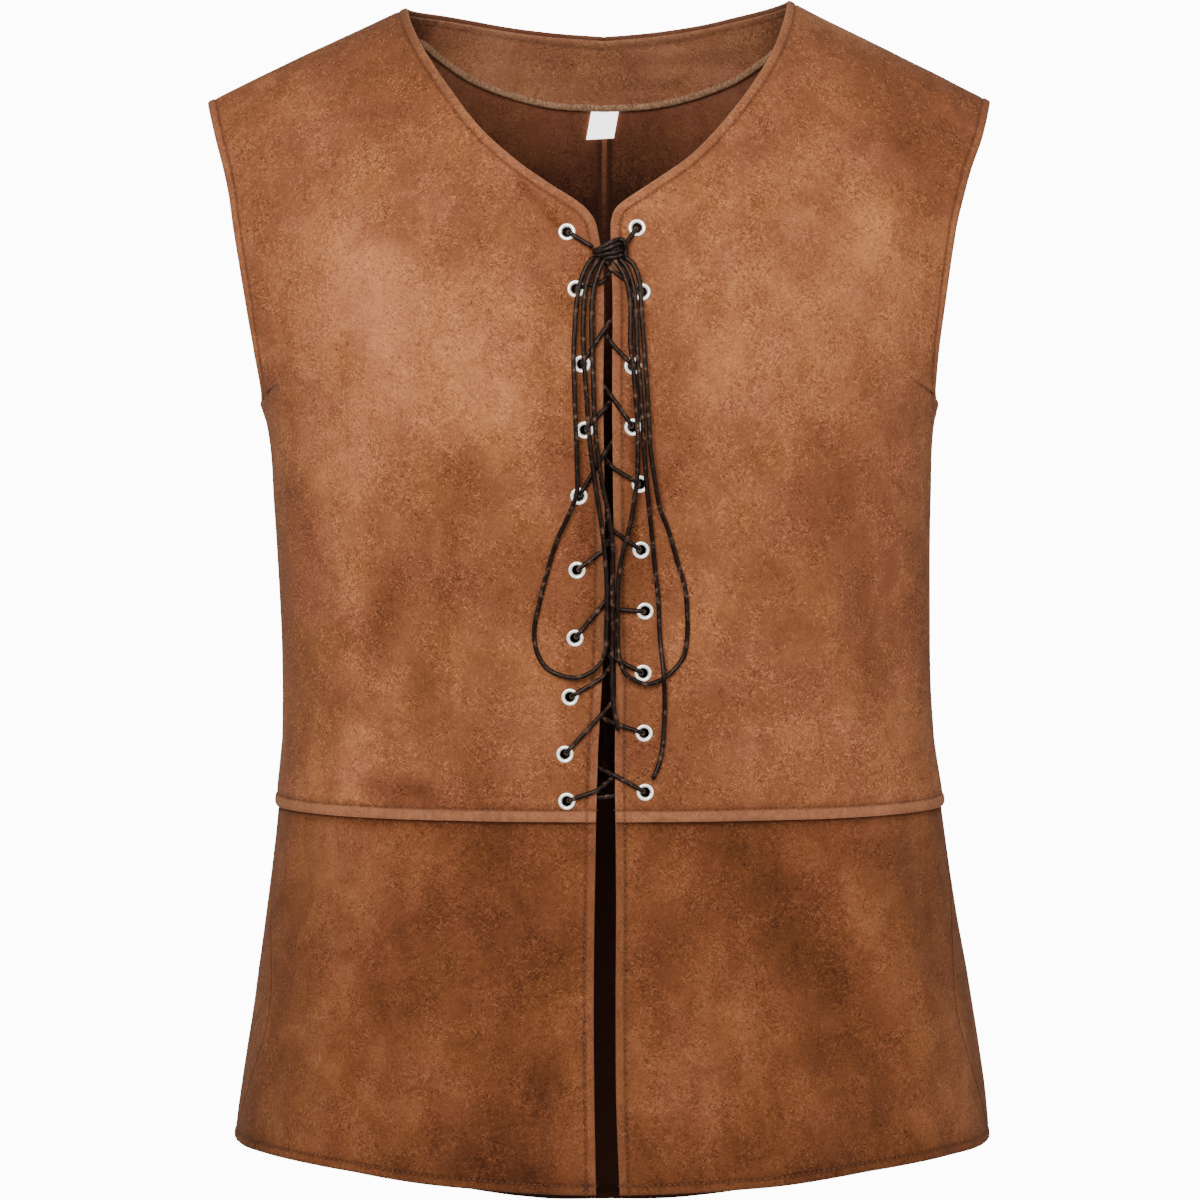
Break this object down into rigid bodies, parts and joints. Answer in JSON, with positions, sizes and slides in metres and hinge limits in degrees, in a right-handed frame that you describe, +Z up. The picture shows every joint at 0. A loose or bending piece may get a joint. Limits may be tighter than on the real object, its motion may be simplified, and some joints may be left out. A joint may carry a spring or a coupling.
{
  "type": "suede renaissance vest",
  "caption": "Sleeveless suede vest in renaissance style with a V neck, a front laced through metal eyelets with a bow, and a short flared skirt open at the front.",
  "frame": {"origin": "on the centre plane, at the mean height of the two points where the shoulder seams meet the neckline, where the vest hangs on its wearer or on a form", "axes": "+Z up, -Y to the front of the vest, +X to the wearer's left"},
  "size_m": [0.4877, 0.2788, 0.7827],
  "materials": {
    "tan_suede": "soft napped suede, matte",
    "brown_suede": "soft napped suede, matte, a little darker",
    "facing_suede": "suede with a bound lower edge, matte",
    "label_cloth": "bare white woven cloth",
    "eyelet_metal": "pale nickel-like plating, polished",
    "lace_leather": "smooth dark cord, slightly waxed"
  },
  "bodies": {
    "root": {"bodice_front_right": "tan_suede", "bodice_back_right": "tan_suede", "skirt_front_right": "brown_suede", "bodice_front_left": "tan_suede", "bodice_back_left": "tan_suede", "skirt_front_left": "brown_suede", "skirt_back": "brown_suede", "back_neck_facing": "facing_suede", "neck_label": "label_cloth", "eyelet_right_01": "eyelet_metal", "eyelet_right_02": "eyelet_metal", "eyelet_right_03": "eyelet_metal", "eyelet_right_04": "eyelet_metal", "eyelet_right_05": "eyelet_metal", "eyelet_right_06": "eyelet_metal", "eyelet_right_07": "eyelet_metal", "eyelet_right_08": "eyelet_metal", "eyelet_right_09": "eyelet_metal", "eyelet_right_10": "eyelet_metal", "eyelet_left_01": "eyelet_metal", "eyelet_left_02": "eyelet_metal", "eyelet_left_03": "eyelet_metal", "eyelet_left_04": "eyelet_metal", "eyelet_left_05": "eyelet_metal", "eyelet_left_06": "eyelet_metal", "eyelet_left_07": "eyelet_metal", "eyelet_left_08": "eyelet_metal", "eyelet_left_09": "eyelet_metal", "eyelet_left_10": "eyelet_metal", "lacing": "lace_leather", "lace_knot": "lace_leather", "bow_loop_right": "lace_leather", "lace_end_right": "lace_leather", "bow_loop_left": "lace_leather", "lace_end_left": "lace_leather"}
  },
  "joints": []
}
